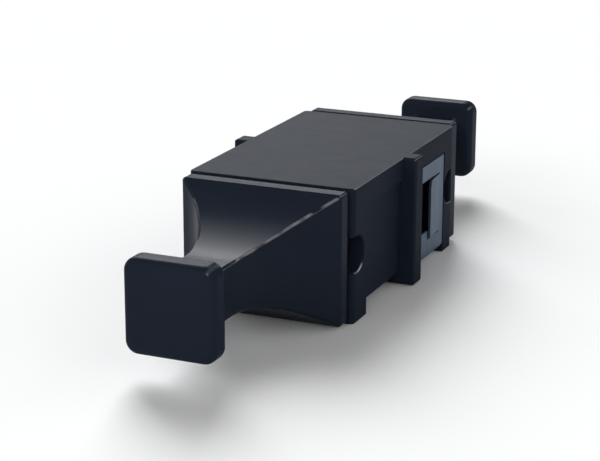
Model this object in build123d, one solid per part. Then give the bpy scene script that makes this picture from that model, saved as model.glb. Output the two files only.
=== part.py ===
from build123d import *
import math
import os

# An MPO fibre adapter with its panel clip and its two dust plugs.
# Frame: millimetres, +Z up, +Y along the port axis towards the rear, +X across the ports.
# The origin is under the middle of the housing, on the plane of its lowest faces.

# Housing
body_width = 12.9
body_height = 10.0
body_length = 21.2
end_corner_radius = 0.4
body_edge_break = 0.07

# Recess for the panel clip, along both sides and under the housing
side_recess = 0.27
bottom_recess = 0.97
recess_top_drop = 1.75
recess_edge_radius = 0.15
front_collar = 2.5
rear_collar = 2.02

# Panel flange, a rib round both sides and the bottom
rib_front = -0.84
rib_thickness = 1.5
rib_overhang = 1.03
rib_corner_radius = 0.22
rib_bottom_rise = 0.1
rib_front_break = 0.15
rib_rear_break = 0.06

# Ports, the web between them and their keyways
port_axis_rise = 0.12
port_width = 10.6
port_height = 6.8
port_corner_radius = 0.5
mouth_chamfer = 0.3
web_thickness = 1.0
web_window_width = 8.0
web_window_height = 4.2
keyway_width = 3.0
keyway_depth = 0.7
keyway_length = 6.5

# Finger notches, open to the end faces
notch_radius = 1.32
notch_depth = 2.02
notch_rim_break = 0.08

# Latch inserts
insert_clearance = 0.05
insert_plate = 1.2
ferrule_width = 6.9
ferrule_height = 3.0
ferrule_collar_wall = 0.6
ferrule_collar_depth = 0.6
ferrule_collar_radius = 0.3
arm_gap = 0.4
arm_thickness = 0.7
arm_height = 3.8
hook_inset = 4.45
hook_depth = 0.45
hook_land = 0.3
hook_ramp = 0.9

# Panel clip, a folded sheet
sheet = 0.2
clip_clearance = 0.03
clip_bottom_gap = 0.27
clip_bend_radius = 0.15
clip_top_gap = 0.13
clip_end_gap = 0.1
clip_heel_radius = 0.4
window_top_drop = 1.38
window_bottom_rise = 1.77
window_length = 1.9
tab_root_inset = 0.98
tab_length = 2.5
tab_slit = 0.12
tab_bottom_rise = 1.15
tab_proud = 0.2
tab_corner = 0.55

# Pocket in the housing wall behind the clip's window
pocket_margin = 0.15

# Dust plugs
plug_flange_side_inset = 0.29
plug_flange_top_inset = 0.175
plug_flange_thickness = 1.24
plug_flange_corner_radius = 0.25
plug_edge_break = 0.12
plug_shoulder = 0.44
plug_shoulder_width = 11.0
plug_shoulder_height = 8.4
plug_clearance = 0.1
stub_depth = 3.4
stub_wall = 0.9
stub_core_depth = 2.9
stub_chamfer = 0.3
flare_margin = 0.1
flare_side_length = 8.67
flare_top_length = 8.15
neck_width = 3.66
neck_height = 3.86
crest_break = 0.16
neck_root_radius = 0.24
paddle_size = 6.65
paddle_thickness = 1.9
paddle_corner_radius = 0.95
paddle_edge_radius = 0.5
paddle_front_reach = 15.94

# Places that several pieces share
half_length = body_length / 2
half_width = body_width / 2
port_axis_height = body_height / 2 + port_axis_rise
recess_front = -half_length + front_collar
recess_rear = half_length - rear_collar
recess_half_width = half_width - side_recess
recess_top_height = body_height - recess_top_drop
rib_rear = rib_front + rib_thickness
port_half_width = port_width / 2
web_face = web_thickness / 2
window_top_height = recess_top_height - window_top_drop
window_bottom_height = bottom_recess + window_bottom_rise
tab_bottom_height = bottom_recess + tab_bottom_rise
tab_root = recess_rear - tab_root_inset
tab_end = tab_root - tab_length
window_front = tab_end - window_length
plug_flange_width = body_width - 2 * plug_flange_side_inset
plug_flange_height = body_height - 2 * plug_flange_top_inset

# How far a cutter runs past what it cuts, and how close counts as the same place
past = 1.0
near = 1e-3


def block(x_low, x_high, y_low, y_high, z_low, z_high):
    """A box between two corners."""
    size = (x_high - x_low, y_high - y_low, z_high - z_low)
    middle = ((x_low + x_high) / 2, (y_low + y_high) / 2, (z_low + z_high) / 2)
    return Pos(*middle) * Box(*size)


def port_plane(y):
    """A plane across the port axis at y, with its normal along +Y and its own y axis down."""
    return Plane(origin=(0, y, port_axis_height), x_dir=(1, 0, 0), z_dir=(0, 1, 0))


def port_bar(width, height, radius, y_low, y_high):
    """A bar of rounded rectangular section along the port axis."""
    outline = port_plane(y_low) * RectangleRounded(width, height, radius)
    return extrude(outline, y_high - y_low)


def both_ends(shape):
    """The shape and its copy turned half round the vertical axis."""
    return shape + Rot(0, 0, 180) * shape


def edges_at(shape, direction, x=None, y=None, z=None):
    """Straight edges along a direction whose middles lie at the given absolute places."""
    found = []
    for edge in shape.edges().filter_by(direction):
        middle = edge @ 0.5
        off_x = x is not None and abs(abs(middle.X) - x) > near
        off_y = y is not None and abs(abs(middle.Y) - y) > near
        off_z = z is not None and abs(middle.Z - z) > near
        if not (off_x or off_y or off_z):
            found.append(edge)
    return ShapeList(found)


def housing_shell():
    """The outer form: a block with rounded edges, recessed for the clip, with the panel flange."""
    shell = block(-half_width, half_width, -half_length, half_length, 0, body_height)
    shell = fillet(shell.edges().filter_by(Axis.Z), end_corner_radius)
    shell = chamfer(shell.faces().sort_by(Axis.Z)[-1].edges(), body_edge_break)
    shell = chamfer(shell.faces().sort_by(Axis.Z)[0].edges(), body_edge_break)
    core = block(
        -recess_half_width, recess_half_width, recess_front, recess_rear,
        bottom_recess, body_height,
    )
    core = fillet(edges_at(core, Axis.Y, z=bottom_recess), recess_edge_radius)
    around = block(
        -half_width - past, half_width + past, recess_front, recess_rear,
        -past, recess_top_height,
    )
    shell -= around - core
    rib_half_width = half_width + rib_overhang
    rib = block(
        -rib_half_width, rib_half_width, rib_front, rib_rear, rib_bottom_rise, body_height
    )
    rib = fillet(rib.edges().filter_by(Axis.Y), rib_corner_radius)
    rib = chamfer(rib.faces().sort_by(Axis.Y)[0].edges(), rib_front_break)
    rib = chamfer(rib.faces().sort_by(Axis.Y)[-1].edges(), rib_rear_break)
    return shell + rib


def notch():
    """The cutter of the right-hand finger notch at the front end, a slot with a widened rim."""
    centre_y = -half_length + notch_depth - notch_radius
    inner_x = port_half_width - past
    outline = Pos(centre_y, port_axis_height) * Circle(notch_radius)
    mouth = Pos(centre_y - (half_length + past + centre_y) / 2, port_axis_height)
    outline += mouth * Rectangle(half_length + past + centre_y, 2 * notch_radius)
    slot = extrude(Plane.YZ.offset(inner_x) * outline, half_width - inner_x + past)
    rim = extrude(
        Plane.YZ.offset(half_width - notch_rim_break) * outline, 2 * notch_rim_break, taper=-45
    )
    return slot + rim


def adapter_housing():
    """The moulded housing with its two ports back to back."""
    body = housing_shell()
    port = port_bar(port_width, port_height, port_corner_radius, -half_length - past, -web_face)
    port_top = port_axis_height + port_height / 2
    key_half = keyway_width / 2
    keyway = block(
        -key_half, key_half, -half_length - past, -half_length + keyway_length,
        port_axis_height, port_top + keyway_depth,
    )
    mouth = port_plane(-half_length) * RectangleRounded(
        port_width + 2 * mouth_chamfer, port_height + 2 * mouth_chamfer,
        port_corner_radius + mouth_chamfer,
    )
    body -= both_ends(port + extrude(mouth, mouth_chamfer, taper=45) + keyway)
    body -= port_bar(web_window_width, web_window_height, port_corner_radius, -past, past)
    cutter = notch()
    body -= both_ends(cutter + mirror(cutter, Plane.YZ))
    pocket = block(
        port_half_width - past, half_width + past,
        window_front - pocket_margin, tab_root - pocket_margin,
        tab_bottom_height + pocket_margin, window_top_height - pocket_margin,
    )
    body -= pocket + mirror(pocket, Plane.YZ)
    return body


def latch_insert():
    """The front insert: a plate on the web with a ferrule window and two hooked spring arms."""
    plate_back = -web_face - insert_clearance
    plate_front = plate_back - insert_plate
    plate = port_bar(
        port_width - 2 * insert_clearance, port_height - 2 * insert_clearance,
        port_corner_radius, plate_front, plate_back,
    )
    collar = port_bar(
        ferrule_width + 2 * ferrule_collar_wall, ferrule_height + 2 * ferrule_collar_wall,
        ferrule_collar_radius, plate_front - ferrule_collar_depth, plate_back,
    )
    window = port_bar(
        ferrule_width, ferrule_height, ferrule_collar_radius,
        plate_front - ferrule_collar_depth - past, plate_back + past,
    )
    arm_outer = port_half_width - arm_gap
    arm_inner = arm_outer - arm_thickness
    hook_tip = arm_inner - hook_depth
    arm_end = -half_length + hook_inset
    hook_back = arm_end + hook_ramp + hook_land
    side_view = Polyline(
        (arm_outer, plate_back),
        (arm_outer, arm_end),
        (arm_inner, arm_end),
        (hook_tip, arm_end + hook_ramp),
        (hook_tip, hook_back),
        (arm_inner, hook_back),
        (arm_inner, plate_back),
        close=True,
    )
    low = port_axis_height - arm_height / 2
    arm = extrude(Plane.XY.offset(low) * make_face(side_view), arm_height)
    return plate + collar + arm + mirror(arm, Plane.YZ) - window


def clip_bottom():
    """The height of the clip's underside."""
    return bottom_recess - clip_bottom_gap - sheet


def clip_arm_outline():
    """The clip's side view, with its lower rear corner rounded off."""
    high = recess_top_height - clip_top_gap
    front = rib_rear + clip_end_gap
    rear = recess_rear - clip_end_gap
    low = clip_bottom()
    heel = (rear, low)
    outline = make_face(Polyline((front, low), heel, (rear, high), (front, high), close=True))
    corner = outline.vertices().sort_by_distance((*heel, 0))[0]
    return fillet(corner, clip_heel_radius)


def panel_clip():
    """The spring clip: one folded sheet up both sides and under the housing, with two cut tabs."""
    outer = recess_half_width + clip_clearance + sheet
    low = clip_bottom()
    section_outer = block(-outer, outer, rib_rear, recess_rear, low, body_height)
    section_outer = fillet(edges_at(section_outer, Axis.Y, z=low), clip_bend_radius + sheet)
    inner = outer - sheet
    section_inner = block(-inner, inner, rib_rear, recess_rear, low + sheet, body_height)
    section_inner = fillet(edges_at(section_inner, Axis.Y, z=low + sheet), clip_bend_radius)
    sheet_section = section_outer - section_inner
    side_view = extrude(Plane.YZ.offset(-outer - past) * clip_arm_outline(), 2 * (outer + past))
    clip = sheet_section & side_view
    opening = block(
        -outer - past, outer + past, window_front, tab_end,
        window_bottom_height, window_top_height,
    )
    slits = block(
        -outer - past, outer + past, tab_end - tab_slit, tab_root,
        tab_bottom_height - tab_slit, window_top_height,
    )
    clip -= opening + slits
    tab = clip_tab(inner)
    return clip + tab + mirror(tab, Plane.YZ)


def clip_tab(inner):
    """One tab: rooted at the rear, bent outwards, with its upper free corner cut off."""
    side_view = Polyline(
        (inner, tab_root),
        (inner + sheet, tab_root),
        (inner + sheet + tab_proud, tab_end),
        (inner + tab_proud, tab_end),
        close=True,
    )
    high = window_top_height - tab_slit
    tab = extrude(
        Plane.XY.offset(tab_bottom_height) * make_face(side_view), high - tab_bottom_height
    )
    corner = Polyline(
        (tab_end - past, high + past),
        (tab_end - past, high - tab_corner - past),
        (tab_end, high - tab_corner),
        (tab_end + tab_corner / 2, high),
        (tab_end + tab_corner / 2, high + past),
        close=True,
    )
    return tab - extrude(Plane.YZ.offset(inner - past) * make_face(corner), 2 * past + sheet + tab_proud)


def flare_outline(neck_half, end_half, length, root, end):
    """Half of the grip's outline: straight along the neck, then an arc that opens to the flange."""
    rise = end_half - neck_half
    radius = (length ** 2 + rise ** 2) / (2 * rise)
    sweep = math.asin(length / radius)
    half_sweep = sweep / 2
    start = (neck_half, end - length)
    middle = (
        neck_half + radius * (1 - math.cos(half_sweep)),
        end - length + radius * math.sin(half_sweep),
    )
    arc = ThreePointArc(start, middle, (end_half, end))
    rest = Polyline((end_half, end), (0, end), (0, root), (neck_half, root), start)
    half = make_face(Curve() + [arc, rest])
    return half + mirror(half, Plane.YZ)


def grip():
    """The neck with its four-sided hollow-cheeked flare, whose sides meet in crests."""
    flange_front = -half_length - plug_shoulder - plug_flange_thickness
    root = -half_length - paddle_front_reach + paddle_thickness
    reach = body_height
    across = flare_outline(
        neck_width / 2, plug_flange_width / 2 - flare_margin, flare_side_length,
        root, flange_front,
    )
    upright = flare_outline(
        neck_height / 2, plug_flange_height / 2 - flare_margin, flare_top_length,
        root, flange_front,
    )
    plan = extrude(Plane.XY.offset(port_axis_height - reach) * across, 2 * reach)
    side = Plane(origin=(-reach, 0, port_axis_height), x_dir=(0, 0, 1), z_dir=(1, 0, 0))
    elevation = extrude(side * mirror(upright, Plane.XZ), 2 * reach)
    neck = plan & elevation
    crests = [edge for edge in neck.edges() if abs((edge @ 0).Y - (edge @ 1).Y) > near]
    return chamfer(ShapeList(crests), crest_break)


def dust_plug():
    """The front dust plug, one moulding: stub, shoulder, flange, flared neck and paddle."""
    shoulder_front = -half_length - plug_shoulder
    flange_front = shoulder_front - plug_flange_thickness
    paddle_front = -half_length - paddle_front_reach
    flange = port_bar(
        plug_flange_width, plug_flange_height, plug_flange_corner_radius,
        flange_front, shoulder_front,
    )
    flange = chamfer(flange.faces().sort_by(Axis.Y)[0].edges(), plug_edge_break)
    flange = chamfer(flange.faces().sort_by(Axis.Y)[-1].edges(), plug_edge_break)
    shoulder = port_bar(
        plug_shoulder_width, plug_shoulder_height, port_corner_radius,
        shoulder_front, -half_length,
    )
    stub_width = port_width - 2 * plug_clearance
    stub_height = port_height - 2 * plug_clearance
    stub_end = -half_length + stub_depth
    stub = port_bar(stub_width, stub_height, port_corner_radius, -half_length, stub_end)
    stub = chamfer(stub.faces().sort_by(Axis.Y)[-1].edges(), stub_chamfer)
    core = port_bar(
        stub_width - 2 * stub_wall, stub_height - 2 * stub_wall, port_corner_radius,
        stub_end - stub_core_depth, stub_end + past,
    )
    rib_half = stub_wall / 2
    core -= block(-rib_half, rib_half, -half_length, stub_end + past, 0, body_height)
    paddle = port_bar(
        paddle_size, paddle_size, paddle_corner_radius,
        paddle_front, paddle_front + paddle_thickness,
    )
    paddle = fillet(paddle.faces().sort_by(Axis.Y)[0].edges(), paddle_edge_radius)
    paddle = fillet(paddle.faces().sort_by(Axis.Y)[-1].edges(), paddle_edge_radius)
    handle = grip() + paddle
    root = paddle_front + paddle_thickness
    inner_half = paddle_size / 2 - paddle_edge_radius - near
    root_edges = []
    for edge in handle.edges():
        middle = edge @ 0.5
        if abs(middle.Y - root) < near and abs(middle.X) < inner_half:
            if abs(middle.Z - port_axis_height) < inner_half:
                root_edges.append(edge)
    handle = fillet(ShapeList(root_edges), neck_root_radius)
    return flange + shoulder + stub - core + handle


front_insert = latch_insert()
front_plug = dust_plug()
half_turn = Rot(0, 0, 180)

nodes = {
    "adapter_housing": adapter_housing(),
    "front_latch_insert": front_insert,
    "rear_latch_insert": half_turn * front_insert,
    "panel_clip": panel_clip(),
    "front_dust_plug": front_plug,
    "rear_dust_plug": half_turn * front_plug,
}

os.makedirs("parts", exist_ok=True)
for name, shape in nodes.items():
    export_step(shape, f"parts/{name}.step")
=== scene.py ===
import math

import bpy
from mathutils import Euler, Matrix

# An MPO fibre adapter with its panel clip and two dust plugs, on a pale floor.
# Metres, in the part's own frame: +Y along the ports, +X across them, +Z up.

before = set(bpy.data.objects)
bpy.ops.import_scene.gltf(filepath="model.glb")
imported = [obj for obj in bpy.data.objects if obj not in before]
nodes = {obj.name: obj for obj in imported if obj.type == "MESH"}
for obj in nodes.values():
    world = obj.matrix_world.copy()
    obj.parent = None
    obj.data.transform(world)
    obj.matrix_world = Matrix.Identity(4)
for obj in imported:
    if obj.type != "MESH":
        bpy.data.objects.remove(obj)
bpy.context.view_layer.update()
scene = bpy.context.scene

MM = 0.001


# Node helpers

# The part of a noise's range that most of it lies in.
NOISE_MIDDLE = (0.3, 0.7)


def new_tree(data):
    """The emptied node tree of a material or a world."""
    data.use_nodes = True
    data.node_tree.nodes.clear()
    return data.node_tree


def feed(tree, value, socket):
    """Links a socket to this one, or sets this one to a fixed value."""
    if isinstance(value, bpy.types.NodeSocket):
        tree.links.new(value, socket)
    else:
        socket.default_value = value


def own_place(tree, stretch=(1, 1, 1)):
    """The object's own coordinates, stretched."""
    place = tree.nodes.new("ShaderNodeTexCoord")
    mapping = tree.nodes.new("ShaderNodeMapping")
    mapping.inputs["Scale"].default_value = stretch
    tree.links.new(place.outputs["Object"], mapping.inputs["Vector"])
    return mapping.outputs["Vector"]


def split(tree, vector):
    """The x, y and z of a vector."""
    parts = tree.nodes.new("ShaderNodeSeparateXYZ")
    tree.links.new(vector, parts.inputs[0])
    return parts.outputs


def noise(tree, vector, size, detail=2.0, roughness=0.5):
    """A noise whose features are about size metres across."""
    texture = tree.nodes.new("ShaderNodeTexNoise")
    texture.inputs["Scale"].default_value = 1 / size
    texture.inputs["Detail"].default_value = detail
    texture.inputs["Roughness"].default_value = roughness
    tree.links.new(vector, texture.inputs["Vector"])
    return texture.outputs["Fac"]


def map_range(tree, value, source, target, kind):
    """Takes a value from one range to another and keeps it inside."""
    node = tree.nodes.new("ShaderNodeMapRange")
    node.interpolation_type = kind
    ends = ("From Min", "From Max", "To Min", "To Max")
    for end, number in zip(ends, (*source, *target)):
        node.inputs[end].default_value = number
    tree.links.new(value, node.inputs["Value"])
    return node.outputs["Result"]


def spread(tree, value, low, high):
    """Brings the middle of a noise's range to low..high."""
    return map_range(tree, value, NOISE_MIDDLE, (low, high), "LINEAR")


def ease(tree, value, source, low, high):
    """Goes smoothly from low to high as the value crosses the source range."""
    return map_range(tree, value, source, (low, high), "SMOOTHSTEP")


def arithmetic(tree, operation, *values):
    """A Math node on numbers and sockets."""
    node = tree.nodes.new("ShaderNodeMath")
    node.operation = operation
    for socket, value in zip(node.inputs, values):
        feed(tree, value, socket)
    return node.outputs[0]


def product(tree, result, *factors):
    """The product of two or more values."""
    for factor in factors:
        result = arithmetic(tree, "MULTIPLY", result, factor)
    return result


def mix(tree, kind, factor, *pair):
    """Mixes two colours, each a socket or a triple."""
    node = tree.nodes.new("ShaderNodeMix")
    node.data_type = "RGBA"
    node.blend_type = kind
    feed(tree, factor, node.inputs["Factor"])
    sockets = [socket for socket in node.inputs if socket.type == "RGBA"]
    for colour, socket in zip(pair, sockets):
        feed(tree, (*colour, 1.0) if isinstance(colour, tuple) else colour, socket)
    return [socket for socket in node.outputs if socket.type == "RGBA"][0]


def tint(tree, colour, factor):
    """A colour made lighter and darker by a factor."""
    grey = tree.nodes.new("ShaderNodeCombineColor")
    for channel in ("Red", "Green", "Blue"):
        tree.links.new(factor, grey.inputs[channel])
    return mix(tree, "MULTIPLY", 1.0, colour, grey.outputs["Color"])


def bump(tree, height, depth, under=None):
    """A bump of the given depth in metres, over another one if there is one."""
    node = tree.nodes.new("ShaderNodeBump")
    node.inputs["Strength"].default_value = 1.0
    node.inputs["Distance"].default_value = depth
    tree.links.new(height, node.inputs["Height"])
    if under is not None:
        tree.links.new(under, node.inputs["Normal"])
    return node.outputs["Normal"]


# Materials

# An edge gets a painted highlight, found from the up and sideways parts of the
# surface's direction. ALIKE is their ratio, OUTWARD the size of the larger part
# and RIGHTWARD the signed sideways part, each where the painted highlight begins
# to grow and where it is full.
ALIKE = (0.6, 0.92)
OUTWARD = (0.3, 0.45)
RIGHTWARD = (-0.1, 0.1)
# The painted edge highlight is this much weaker on the left, away from the light.
LEFT_HIGHLIGHT = 0.25
BEVEL_SAMPLES = 8
NO_ZERO = 0.05
# The next colour is painted on those edges as a highlight; the coat after it adds real gloss
# there.
EDGE_HIGHLIGHT_COLOUR = (0.17, 0.175, 0.185)
EDGE_COAT_INDEX = 2.4
EDGE_COAT_ROUGHNESS = 0.18

# From the neck to the pull tab, along Y. Tabs get less painted edge highlight, and are duller.
TAB_ROOT = (24.2 * MM, 24.6 * MM)
TAB_HIGHLIGHT = 0.4
TAB_DULLING = 0.09

# How much the patterns are stretched along the ports, and up the clip's arms.
FLOW_STRETCH = (1.0, 0.35, 1.0)
ROLLING_STRETCH = (1.0, 1.0, 0.045)


def new_material(name):
    """An empty node material with its output and its Principled shader."""
    material = bpy.data.materials.new(name)
    tree = new_tree(material)
    output = tree.nodes.new("ShaderNodeOutputMaterial")
    shader = tree.nodes.new("ShaderNodeBsdfPrincipled")
    tree.links.new(shader.outputs["BSDF"], output.inputs["Surface"])
    return material, tree, shader


def edge_highlight_mask(tree, lean, rounding):
    """Mask for a painted highlight: 1 where the surface faces up and sideways
    alike: crests, rims, corners.

    It is weaker on the left side, away from the light. Lean, about 1, moves
    it to and fro across the edge. Rounding narrows it to the middle of a flat
    break that is about as wide.
    """
    if rounding:
        facing = tree.nodes.new("ShaderNodeBevel")
        facing.samples = BEVEL_SAMPLES
        facing.inputs["Radius"].default_value = rounding
    else:
        facing = tree.nodes.new("ShaderNodeNewGeometry")
    x, y, z = split(tree, facing.outputs["Normal"])
    sideways = product(tree, arithmetic(tree, "ABSOLUTE", x), lean)
    less = arithmetic(tree, "MINIMUM", sideways, z)
    more = arithmetic(tree, "MAXIMUM", sideways, z)
    ratio = arithmetic(tree, "DIVIDE", less, arithmetic(tree, "MAXIMUM", more, NO_ZERO))
    return product(
        tree,
        ease(tree, ratio, ALIKE, 0, 1),
        ease(tree, more, OUTWARD, 0, 1),
        ease(tree, x, RIGHTWARD, LEFT_HIGHLIGHT, 1),
    )


def moulded_plastic(name, colour, roughness, index, least_highlight, waver, rounding=0):
    """Moulded plastic with spark-eroded grain, flow shading and painted edge highlights."""
    material, tree, shader = new_material(name)
    place = own_place(tree)
    along = own_place(tree, FLOW_STRETCH)
    reach = arithmetic(tree, "ABSOLUTE", split(tree, place)["Y"])

    patchy = spread(tree, noise(tree, place, 1.4 * MM), least_highlight, 1.0)
    lean = spread(tree, noise(tree, place, 1.2 * MM, detail=0), 1 - waver, 1 + waver)
    kept = product(tree, patchy, ease(tree, reach, TAB_ROOT, 1, TAB_HIGHLIGHT))
    # Painted highlight on edges facing up and to the right, fainter on the tabs; a glossy coat
    # goes there too.
    edge_highlight = product(tree, edge_highlight_mask(tree, lean, rounding), kept)

    broad = noise(tree, along, 5.0 * MM, detail=3.0)
    flowed = tint(tree, colour, spread(tree, broad, 0.93, 1.07))
    feed(tree, mix(tree, "MIX", edge_highlight, flowed, EDGE_HIGHLIGHT_COLOUR), shader.inputs["Base Color"])

    handled = noise(tree, place, 1.3 * MM, detail=4.0, roughness=0.62)
    dull = spread(tree, handled, roughness - 0.025, roughness + 0.025)
    gripped = ease(tree, reach, TAB_ROOT, 0, TAB_DULLING)
    feed(tree, arithmetic(tree, "ADD", dull, gripped), shader.inputs["Roughness"])

    grain = noise(tree, place, 0.11 * MM, detail=3.0, roughness=0.6)
    waves = noise(tree, along, 2.6 * MM)
    fine = bump(tree, grain, 0.0025 * MM)
    feed(tree, bump(tree, waves, 0.002 * MM, fine), shader.inputs["Normal"])

    shader.inputs["IOR"].default_value = index
    feed(tree, edge_highlight, shader.inputs["Coat Weight"])
    shader.inputs["Coat IOR"].default_value = EDGE_COAT_INDEX
    shader.inputs["Coat Roughness"].default_value = EDGE_COAT_ROUGHNESS
    return material


def spring_steel(name, colour, roughness):
    """Rolled spring sheet: fine lines along the strip, with slight stains."""
    material, tree, shader = new_material(name)
    lines = noise(tree, own_place(tree, ROLLING_STRETCH), 0.05 * MM)
    stains = noise(tree, own_place(tree), 1.6 * MM, detail=3.0)
    shader.inputs["Metallic"].default_value = 1.0
    feed(tree, tint(tree, colour, spread(tree, stains, 0.9, 1.1)), shader.inputs["Base Color"])
    dull = spread(tree, lines, roughness - 0.05, roughness + 0.05)
    feed(tree, dull, shader.inputs["Roughness"])
    feed(tree, bump(tree, lines, 0.0012 * MM), shader.inputs["Normal"])
    return material


def dress(material, *names):
    """Gives CAD nodes one material."""
    for name in names:
        mesh = nodes[name].data
        mesh.materials.clear()
        mesh.materials.append(material)


BLACK = (0.0145, 0.0195, 0.031)
INSERT_GREY = (0.03, 0.035, 0.036)
CLIP_GREY = (0.116, 0.154, 0.21)

housing_plastic = moulded_plastic(
    "housing_plastic", BLACK, roughness=0.42, index=1.05, least_highlight=0.8, waver=0.05
)
plug_plastic = moulded_plastic(
    "plug_plastic", BLACK, roughness=0.23, index=1.06, least_highlight=0.45, waver=0.45,
    rounding=0.12 * MM,
)
insert_plastic = moulded_plastic(
    "insert_plastic", INSERT_GREY, roughness=0.45, index=1.10, least_highlight=0.3, waver=0.05
)
clip_steel = spring_steel("clip_steel", CLIP_GREY, roughness=0.6)

dress(housing_plastic, "adapter_housing")
dress(plug_plastic, "front_dust_plug", "rear_dust_plug")
dress(insert_plastic, "front_latch_insert", "rear_latch_insert")
dress(clip_steel, "panel_clip")


# Floor

FLOOR_RADIUS = 3.0
FLOOR_SIDES = 96
FLOOR_DROP = 0.01 * MM
FLOOR_COLOUR = (0.86, 0.86, 0.86, 1)
FLOOR_LIFT = 0.02


def round_floor():
    """A large disc just under the object."""
    mesh = bpy.data.meshes.new("floor")
    angles = [2 * math.pi * i / FLOOR_SIDES for i in range(FLOOR_SIDES)]
    rim = [(FLOOR_RADIUS * math.cos(a), FLOOR_RADIUS * math.sin(a), 0) for a in angles]
    mesh.from_pydata(rim, [], [tuple(range(FLOOR_SIDES))])
    floor = bpy.data.objects.new("floor", mesh)
    floor.location.z = -FLOOR_DROP
    scene.collection.objects.link(floor)
    return floor


def floor_material():
    """A pale diffuse floor, lifted a little, that shows as white where fully lit."""
    material = bpy.data.materials.new("floor_paper")
    tree = new_tree(material)
    output = tree.nodes.new("ShaderNodeOutputMaterial")
    diffuse = tree.nodes.new("ShaderNodeBsdfDiffuse")
    diffuse.inputs["Color"].default_value = FLOOR_COLOUR
    lift = tree.nodes.new("ShaderNodeEmission")
    path = tree.nodes.new("ShaderNodeLightPath")
    seen = path.outputs["Is Camera Ray"]
    for other in ("Is Glossy Ray", "Is Transmission Ray"):
        seen = arithmetic(tree, "MAXIMUM", seen, path.outputs[other])
    feed(tree, product(tree, seen, FLOOR_LIFT), lift.inputs["Strength"])
    both = tree.nodes.new("ShaderNodeAddShader")
    tree.links.new(diffuse.outputs[0], both.inputs[0])
    tree.links.new(lift.outputs[0], both.inputs[1])
    tree.links.new(both.outputs[0], output.inputs["Surface"])
    return material


floor = round_floor()
floor.data.materials.append(floor_material())


# Light: a plain dome, with a bright soft patch behind the object and weaker
# ones on its other sides. Angles are in degrees, azimuth from +Y towards +X.
# Width says how far from its azimuth a patch is full and where it ends, bottom
# and top between which elevations it fades in and out.

AMBIENT = 0.06
SKY_COLOUR = (0.99, 0.995, 1.0, 1)
SOFTBOXES = (
    dict(level=13.6, azimuth=-31.7, width=(11.6, 21.6), bottom=(16.2, 20.6), top=(34.5, 74.5)),
    dict(level=1.1, azimuth=85, width=(40, 70), bottom=(12, 18), top=(32, 58)),
    dict(level=3.1, azimuth=190, width=(22, 46), bottom=(12, 17), top=(27, 42)),
    dict(level=1.2, azimuth=-105, width=(22, 46), bottom=(12, 17), top=(27, 42)),
)


def softbox(tree, sky, level, azimuth, width, bottom, top):
    """A soft-edged patch of light."""
    heading = math.radians(azimuth)
    across = arithmetic(
        tree, "ADD",
        product(tree, sky["x"], math.sin(heading)),
        product(tree, sky["y"], math.cos(heading)),
    )
    turned = arithmetic(tree, "DIVIDE", across, sky["flat"])
    full, dark = (math.cos(math.radians(angle)) for angle in width)
    rising, falling = ([math.radians(angle) for angle in pair] for pair in (bottom, top))
    return product(
        tree,
        ease(tree, turned, (dark, full), 0, level),
        ease(tree, sky["elevation"], rising, 0, 1),
        ease(tree, sky["elevation"], falling, 1, 0),
    )


def studio():
    """The world that lights the object."""
    world = bpy.data.worlds.new("studio")
    tree = new_tree(world)
    output = tree.nodes.new("ShaderNodeOutputWorld")
    background = tree.nodes.new("ShaderNodeBackground")
    place = tree.nodes.new("ShaderNodeTexCoord")
    x, y, z = split(tree, place.outputs["Generated"])
    flat_squared = arithmetic(tree, "ADD", product(tree, x, x), product(tree, y, y))
    sky = {
        "x": x,
        "y": y,
        "flat": arithmetic(tree, "SQRT", arithmetic(tree, "MAXIMUM", flat_squared, 1e-6)),
        "elevation": arithmetic(tree, "ARCSINE", z),
    }
    level = AMBIENT
    for box in SOFTBOXES:
        level = arithmetic(tree, "ADD", level, softbox(tree, sky, **box))
    feed(tree, level, background.inputs["Strength"])
    background.inputs["Color"].default_value = SKY_COLOUR
    tree.links.new(background.outputs[0], output.inputs["Surface"])
    return world


scene.world = studio()


# Camera, fitted to the photograph's edges

LENS = 110.934
SENSOR_WIDTH = 36
CAMERA_PLACE = (0.0523196, -0.1259191, 0.044199)
HEADING, PITCH, ROLL = (math.radians(angle) for angle in (23.4418, 16.6809, 0.1429))

camera_data = bpy.data.cameras.new("camera")
camera_data.sensor_width = SENSOR_WIDTH
camera_data.lens = LENS
camera_data.clip_start = 0.001
camera_data.clip_end = 20
camera = bpy.data.objects.new("camera", camera_data)
camera.location = CAMERA_PLACE
turn = Euler((0, 0, HEADING)).to_matrix()
tilt = Euler((math.radians(90) - PITCH, 0, 0)).to_matrix()
roll = Euler((0, 0, ROLL)).to_matrix()
camera.rotation_euler = (turn @ tilt @ roll).to_euler()
scene.collection.objects.link(camera)
scene.camera = camera

scene.view_settings.view_transform = "Standard"
